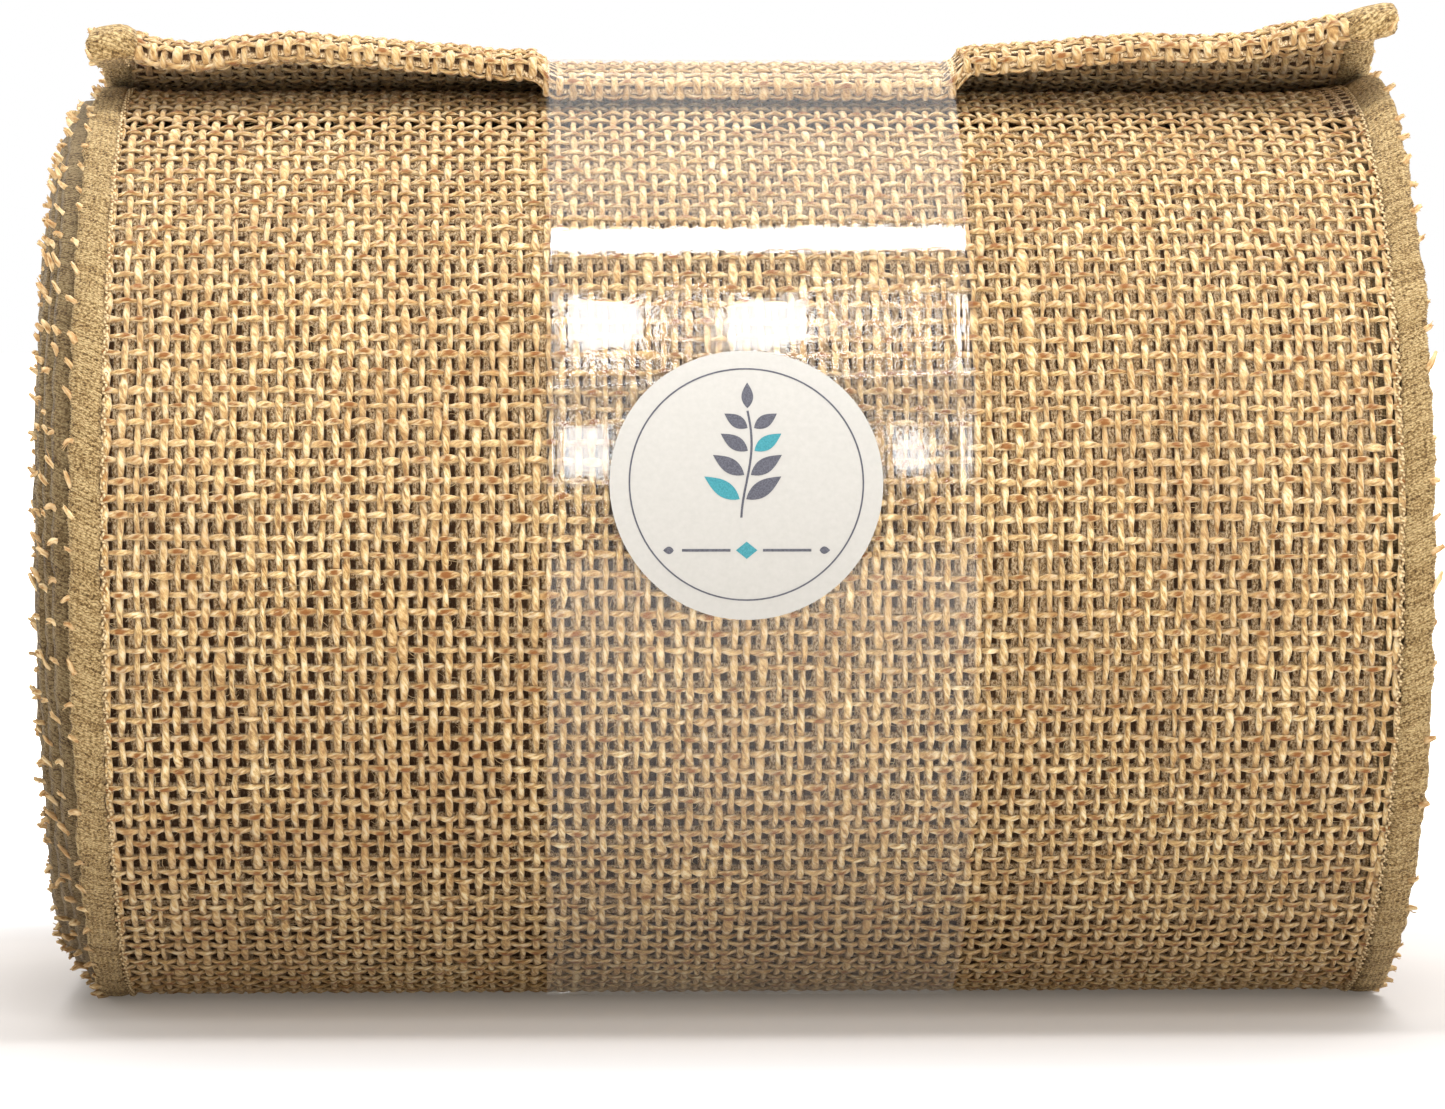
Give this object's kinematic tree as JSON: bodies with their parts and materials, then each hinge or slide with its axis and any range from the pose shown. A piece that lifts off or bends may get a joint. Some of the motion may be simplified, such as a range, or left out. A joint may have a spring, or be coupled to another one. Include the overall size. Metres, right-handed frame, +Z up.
{
  "type": "ribbon spool",
  "caption": "Roll of wide natural burlap ribbon with merrowed wired edges on a cardboard core, its hemmed end held by a clear film band and a round sticker.",
  "frame": {"origin": "on the surface that the roll rests on, below the middle of the roll", "axes": "+X along the roll's axis, to the right when the sticker faces the viewer; +Z up; -Y is the front, where the sticker is"},
  "size_m": [0.254, 0.1844, 0.1861],
  "materials": {
    "kraft_board": "matt",
    "tape": "matt",
    "burlap": "coarse plain weave, matt",
    "edge_thread": "dense slanted stitches, slight sheen",
    "needle_thread": "twisted thread",
    "edge_wire": "drawn",
    "clear_film": "clear, glossy",
    "sticker_paper": "satin"
  },
  "bodies": {
    "roll": {"core_tube": "kraft_board", "inner_end_tape": "tape", "ribbon_cloth": "burlap", "left_merrowed_edge": "edge_thread", "right_merrowed_edge": "edge_thread", "left_needle_thread": "needle_thread", "right_needle_thread": "needle_thread", "left_edge_wire": "edge_wire", "right_edge_wire": "edge_wire"},
    "band": {"film_band": "clear_film", "sticker_label": "sticker_paper"}
  },
  "joints": [
    {"name": "band_slide", "type": "slide", "parent": "roll", "child": "band", "axis": [1, 0, 0], "range_m": [-0.08, 0.078]}
  ]
}
